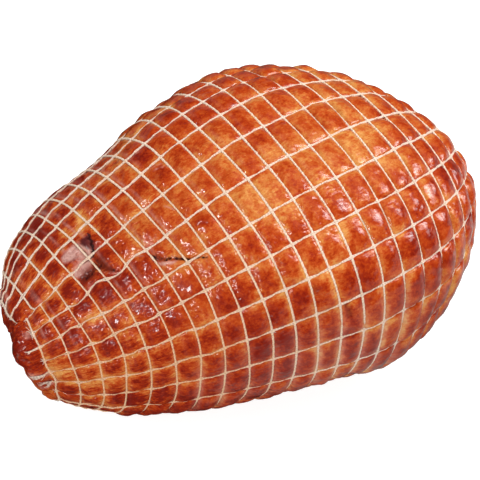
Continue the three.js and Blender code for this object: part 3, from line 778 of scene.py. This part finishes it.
def ham_material():
    g = Graph("smoked_ham")
    place_at = g.node("ShaderNodeTexCoord").outputs["Object"]
    drum = g.node("ShaderNodeAttribute", attribute_name="drum").outputs["Vector"]
    lengthwise = g.node("ShaderNodeMapping", {"Vector": drum, "Scale": (0.38, 1.0, 1.0)}).outputs["Vector"]
    grain = g.noise(620, 2, 0.6, 1.0, lengthwise)
    strands = g.noise(430, 1, 0.5, 0.6, g.node("ShaderNodeMapping", {"Vector": drum, "Scale": (0.24, 1.0, 1.0)}).outputs["Vector"])
    wrinkled = g.field("wrinkled")
    crease = g.noise(380, 0.4, 0.4, 0.3, place_at)
    crease_fine = g.noise(520, 0, 0.5, 0.6, place_at)
    ripple = g.noise(480, 0.4, 0.4, 0.4, lengthwise)
    mottle = g.noise(190, 3, 0.55, 0.35, place_at)
    fine = g.noise(720, 2, 0.7, 0.3, place_at)
    tone = g.math("ADD", g.field("tone"), g.range(mottle, 0.34, 0.66, -0.09, 0.09))
    tone = g.math("ADD", tone, g.math("MULTIPLY", g.math("SUBTRACT", grain, 0.5), g.range(g.field("fibre"), 0.0, 1.0, 0.1, 1.15)))
    tone = g.math("ADD", tone, g.math("MULTIPLY", g.math("SUBTRACT", strands, 0.48), g.range(g.field("fibre"), 0.4, 0.9, 0.0, 0.55)))
    tone = g.math("ADD", tone, g.math("MULTIPLY", g.math("SUBTRACT", crease, 0.5), 0.14))
    tone = g.math("ADD", tone, g.math("MULTIPLY", g.math("SUBTRACT", fine, 0.5), 0.6))
    colour = g.ramp(
        tone,
        [
            (0.0, (0.21, 0.01, 0.003)),
            (0.14, (0.305, 0.019, 0.003)),
            (0.3, (0.42, 0.04, 0.004)),
            (0.46, (0.515, 0.08, 0.012)),
            (0.64, (0.6, 0.166, 0.034)),
            (0.82, (0.675, 0.27, 0.066)),
            (1.0, (0.745, 0.355, 0.105)),
        ],
    )
    # brown in the cuts and dents: the meat's brown, and in the pit, hollow and slit also painted shade
    colour = g.mix(g.math("MULTIPLY", g.field("brown"), 0.85), colour, (0.15, 0.021, 0.009, 1))
    pale = g.math("MULTIPLY", g.field("pale"), g.math("ADD", g.range(mottle, 0.3, 0.6, 0.55, 1.0), g.math("MULTIPLY", g.math("SUBTRACT", fine, 0.5), 1.4)), clamp=True)
    colour = g.mix(pale, colour, (0.64, 0.36, 0.31, 1))
    # purple beside the crevice: partly the meat's purple, partly painted shade
    colour = g.mix(g.field("purple"), colour, (0.1, 0.015, 0.016, 1))
    # ragged edges finer than the mesh for the painted shade in the cuts, mixed to near black
    ragged = g.math("ADD", g.field("painted_recess_shade"), g.math("MULTIPLY", g.math("SUBTRACT", fine, 0.5), 0.9))
    ragged = g.math("ADD", ragged, g.math("MULTIPLY", g.math("SUBTRACT", crease, 0.5), 0.9))
    painted_recess_shade = g.range(ragged, 0.3, 0.66)
    colour = g.mix(painted_recess_shade, colour, (0.045, 0.005, 0.005, 1))
    # wet skin: broad dull gloss under a thin clear film, broken by fine wrinkles
    # heights in mm: slow unevenness all over, curled creases where the skin has shrunk
    swell = g.noise(130, 0, 0.5, 0.6, place_at)
    height = g.math("MULTIPLY", g.math("SUBTRACT", swell, 0.5), 1.2)
    height = g.math("ADD", height, g.math("MULTIPLY", wrinkled, g.math("MULTIPLY", g.math("SUBTRACT", ripple, 0.5), 0.5)))
    height = g.math("ADD", height, g.math("MULTIPLY", wrinkled, g.math("MULTIPLY", g.math("SUBTRACT", crease, 0.5), 0.75)))
    height = g.math("ADD", height, g.math("MULTIPLY", wrinkled, g.math("MULTIPLY", g.math("SUBTRACT", crease_fine, 0.5), 0.14)))
    height = g.math("ADD", height, g.math("MULTIPLY", g.math("SUBTRACT", fine, 0.5), 0.05))
    bump = g.node("ShaderNodeBump", {"Strength": 1.0, "Distance": 0.001, "Height": height}).outputs["Normal"]
    # the wet film is broken: all but whole at the butt, beads of it towards the shank
    film = g.range(g.noise(340, 1, 0.5, 0.4, place_at), 0.52, 0.63, 1.0, 0.0)
    film = g.math("SUBTRACT", 1.0, g.math("MULTIPLY", film, g.range(g.field("fibre"), 0.3, 0.85, 0.3, 0.92)))
    film = g.math("MULTIPLY", film, g.math("SUBTRACT", 1.0, g.math("MULTIPLY", g.math("MAXIMUM", painted_recess_shade, g.field("brown")), 0.92)))
    rough = g.range(fine, 0.3, 0.7, 0.32, 0.46)
    rough = g.math("ADD", rough, g.math("MULTIPLY", g.field("pale"), 0.12))
    shader = g.node(
        "ShaderNodeBsdfPrincipled",
        {
            "Base Color": colour,
            "Roughness": rough,
            "Normal": bump,
            "Coat Normal": bump,
            "Coat Weight": film,
            "Coat Roughness": 0.12,
            "Coat IOR": 1.45,
            "IOR": 1.42,
            "Specular IOR Level": 0.06,
            "Subsurface Weight": 0.04,
            "Subsurface Scale": 0.003,
            "Subsurface Radius": (1.0, 0.3, 0.12),
        },
    ).outputs["BSDF"]
    return g.finish(shader)


def yarn_material(name, pitch, plies, white, tan):
    g = Graph(name)
    uv = g.node("ShaderNodeUVMap", uv_map="UVMap").outputs["UV"]
    parts = g.node("ShaderNodeSeparateXYZ", {"Vector": uv})
    phase = g.math("ADD", g.math("MULTIPLY", parts.outputs["X"], 1 / pitch), g.math("MULTIPLY", parts.outputs["Y"], float(plies)))
    wrap = g.math("SINE", g.math("MULTIPLY", phase, 2 * math.pi))
    wrap = g.math("ADD", g.math("MULTIPLY", wrap, 0.5), 0.5)
    place_at = g.node("ShaderNodeTexCoord").outputs["Object"]
    soil = g.noise(160, 3, 0.6, 0.2, place_at)
    fuzz = g.noise(2200, 2, 0.6, 0.0, place_at)
    tint = g.math("ADD", g.field("tint"), g.math("MULTIPLY", g.math("SUBTRACT", soil, 0.5), 0.7), clamp=True)
    colour = g.mix(tint, white, tan)
    shade = g.math("SUBTRACT", 1.0, g.math("MULTIPLY", g.math("SUBTRACT", 1.0, wrap), 0.22))
    grey = g.node("ShaderNodeCombineColor", {"Red": shade, "Green": shade, "Blue": shade}).outputs["Color"]
    colour = g.mix(1.0, colour, grey, "MULTIPLY")
    height = g.math("ADD", wrap, g.math("MULTIPLY", fuzz, 0.5))
    bump = g.node("ShaderNodeBump", {"Strength": 0.6, "Distance": 0.00025, "Height": height}).outputs["Normal"]
    shader = g.node(
        "ShaderNodeBsdfPrincipled",
        {"Base Color": colour, "Roughness": 0.62, "Normal": bump, "Sheen Weight": 0.25, "Sheen Roughness": 0.4, "Specular IOR Level": 0.35, "Subsurface Weight": 0.1, "Subsurface Scale": 0.0015, "Subsurface Radius": (1.0, 0.7, 0.45)},
    ).outputs["BSDF"]
    return g.finish(shader)


ham.data.materials.append(ham_material())
rings.data.materials.append(yarn_material("elastic_yarn", 1.3, 2, (0.99, 0.8, 0.64, 1), (0.91, 0.54, 0.29, 1)))
chain_yarn = yarn_material("knitted_yarn", 1.9, 1, (0.93, 0.735, 0.605, 1), (0.86, 0.52, 0.3, 1))
chains.data.materials.append(chain_yarn)
ends.data.materials.append(chain_yarn)

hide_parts("ham")
for piece in (rings, chains, ends):
    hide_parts("net")
for piece in (ham, rings, chains, ends):
    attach(piece, "root")

# =====================================================================
# 7. Floor, light and camera
# =====================================================================
mesh = bpy.data.meshes.new("floor")
mesh.from_pydata([(-6, -6, 0), (6, -6, 0), (6, 6, 0), (-6, 6, 0)], [], [(0, 1, 2, 3)])
floor = bpy.data.objects.new("floor", mesh)
bpy.context.scene.collection.objects.link(floor)
g = Graph("pale_floor")
paper = g.node("ShaderNodeBsdfPrincipled", {"Base Color": (0.42, 0.46, 0.47, 1), "Roughness": 0.9, "Specular IOR Level": 0.1, "Emission Color": (1, 1, 1, 1), "Emission Strength": 0.86}).outputs["BSDF"]
# in the ham's gloss the floor is darker near at hand and white behind and to the right, as in a light tent
where = g.node("ShaderNodeSeparateXYZ", {"Vector": g.node("ShaderNodeTexCoord").outputs["Object"]})
reach = g.math("ADD", where.outputs["X"], g.math("MULTIPLY", where.outputs["Y"], 0.05))
glow = g.math("MULTIPLY", g.range(reach, 0.05, 0.24, 0.02, 0.95), g.range(where.outputs["Y"], 0.0, 0.22, 1.0, 0.12))
# painted reflection: in the ham's gloss a grey strip glows along the ham's front foot, and the floor is whiter again
# beyond it
front = g.math("MULTIPLY", g.range(where.outputs["Y"], -0.095, -0.075, 1.0, 0.0), g.range(where.outputs["Y"], -0.2, -0.145, 0.6, 0.38))
front = g.math("MULTIPLY", front, g.range(where.outputs["X"], -0.12, -0.04, 0.0, 1.0))
glow = g.math("MAXIMUM", glow, front)
painted_floor_reflection = g.node("ShaderNodeEmission", {"Color": (1.0, 0.95, 0.86, 1), "Strength": glow}).outputs[0]
floor.data.materials.append(g.finish(g.node("ShaderNodeMixShader", {0: g.node("ShaderNodeLightPath").outputs["Is Glossy Ray"], 1: paper, 2: painted_floor_reflection}).outputs[0]))
floor.visible_diffuse = False

world = bpy.data.worlds.new("studio")
bpy.context.scene.world = world
world.use_nodes = True
world.node_tree.nodes["Background"].inputs[0].default_value = (1.0, 0.99, 0.97, 1)
world.node_tree.nodes["Background"].inputs[1].default_value = 0.5
world.cycles_visibility.glossy = False


def softbox(name, direction, distance, width, height, watts, colour=(1, 1, 1), shines=True, fills=True):
    light = bpy.data.lights.new(name, "AREA")
    light.shape = "RECTANGLE"
    light.size, light.size_y = width, height
    light.energy = watts
    light.color = colour
    obj = bpy.data.objects.new(name, light)
    at = Vector((0.0, 0.0, 0.08))
    d = Vector(direction).normalized()
    obj.location = at + d * distance
    obj.rotation_euler = (-d).to_track_quat("-Z", "Y").to_euler()
    bpy.context.scene.collection.objects.link(obj)
    obj.visible_camera = False
    obj.visible_glossy = shines
    obj.visible_diffuse = fills


softbox("key_right", (0.8, -0.1, 0.57), 1.1, 0.42, 0.42, 5.25, (1.0, 0.985, 0.97), shines=False)
softbox("overhead_fill", (0.28, 0.05, 0.95), 1.2, 1.1, 0.9, 7.35, (1.0, 0.99, 0.98), shines=False)
softbox("front_fill", (-0.5, -0.85, 0.14), 1.3, 0.9, 0.5, 7.0, (1.0, 0.98, 0.96), shines=False)
softbox("left_fill", (-0.75, 0.0, 0.6), 1.2, 0.6, 0.6, 2.8, (1.0, 0.99, 0.98), shines=False)
softbox("key_shine", (0.75, -0.17, 0.62), 1.1, 0.5, 0.7, 7.0, (0.87, 0.975, 0.965), fills=False)
softbox("key_core_shine", (0.75, -0.17, 0.62), 1.08, 0.16, 0.34, 2.2, (0.87, 0.98, 0.97), fills=False)
softbox("ceiling_shine", (0.5, 0.1, 0.85), 1.4, 1.1, 1.1, 1.4, (1.0, 0.98, 0.97), fills=False)
softbox("left_shine", (-0.92, -0.12, 0.4), 1.2, 0.15, 0.2, 5.0, (0.88, 0.99, 0.98), fills=False)
softbox("left_front_shine", (-0.77, -0.39, 0.48), 1.2, 0.12, 0.16, 3.0, (0.88, 0.99, 0.98), fills=False)
softbox("left_high_shine", (-0.72, 0.2, 0.72), 1.2, 0.15, 0.15, 3.4, (0.88, 0.99, 0.98), fills=False)
softbox("backdrop_shine", (-0.15, 0.98, 0.1), 1.5, 3.2, 0.42, 0.9, (1.0, 0.97, 0.96), fills=False)

cam = bpy.data.cameras.new("camera")
cam.sensor_width = 36
cam.lens = 2345.894 / 480 * 36
cam.clip_start, cam.clip_end = 0.1, 20
camera = bpy.data.objects.new("camera", cam)
eye = Vector((-0.508411, -0.865406, 1.122968))
target = Vector((0.021478, 0.031887, 0.044041))
camera.location = eye
camera.rotation_euler = (target - eye).to_track_quat("-Z", "Y").to_euler()
bpy.context.scene.collection.objects.link(camera)
bpy.context.scene.camera = camera
bpy.context.scene.view_settings.view_transform = "Standard"
bpy.context.scene.view_settings.look = "None"
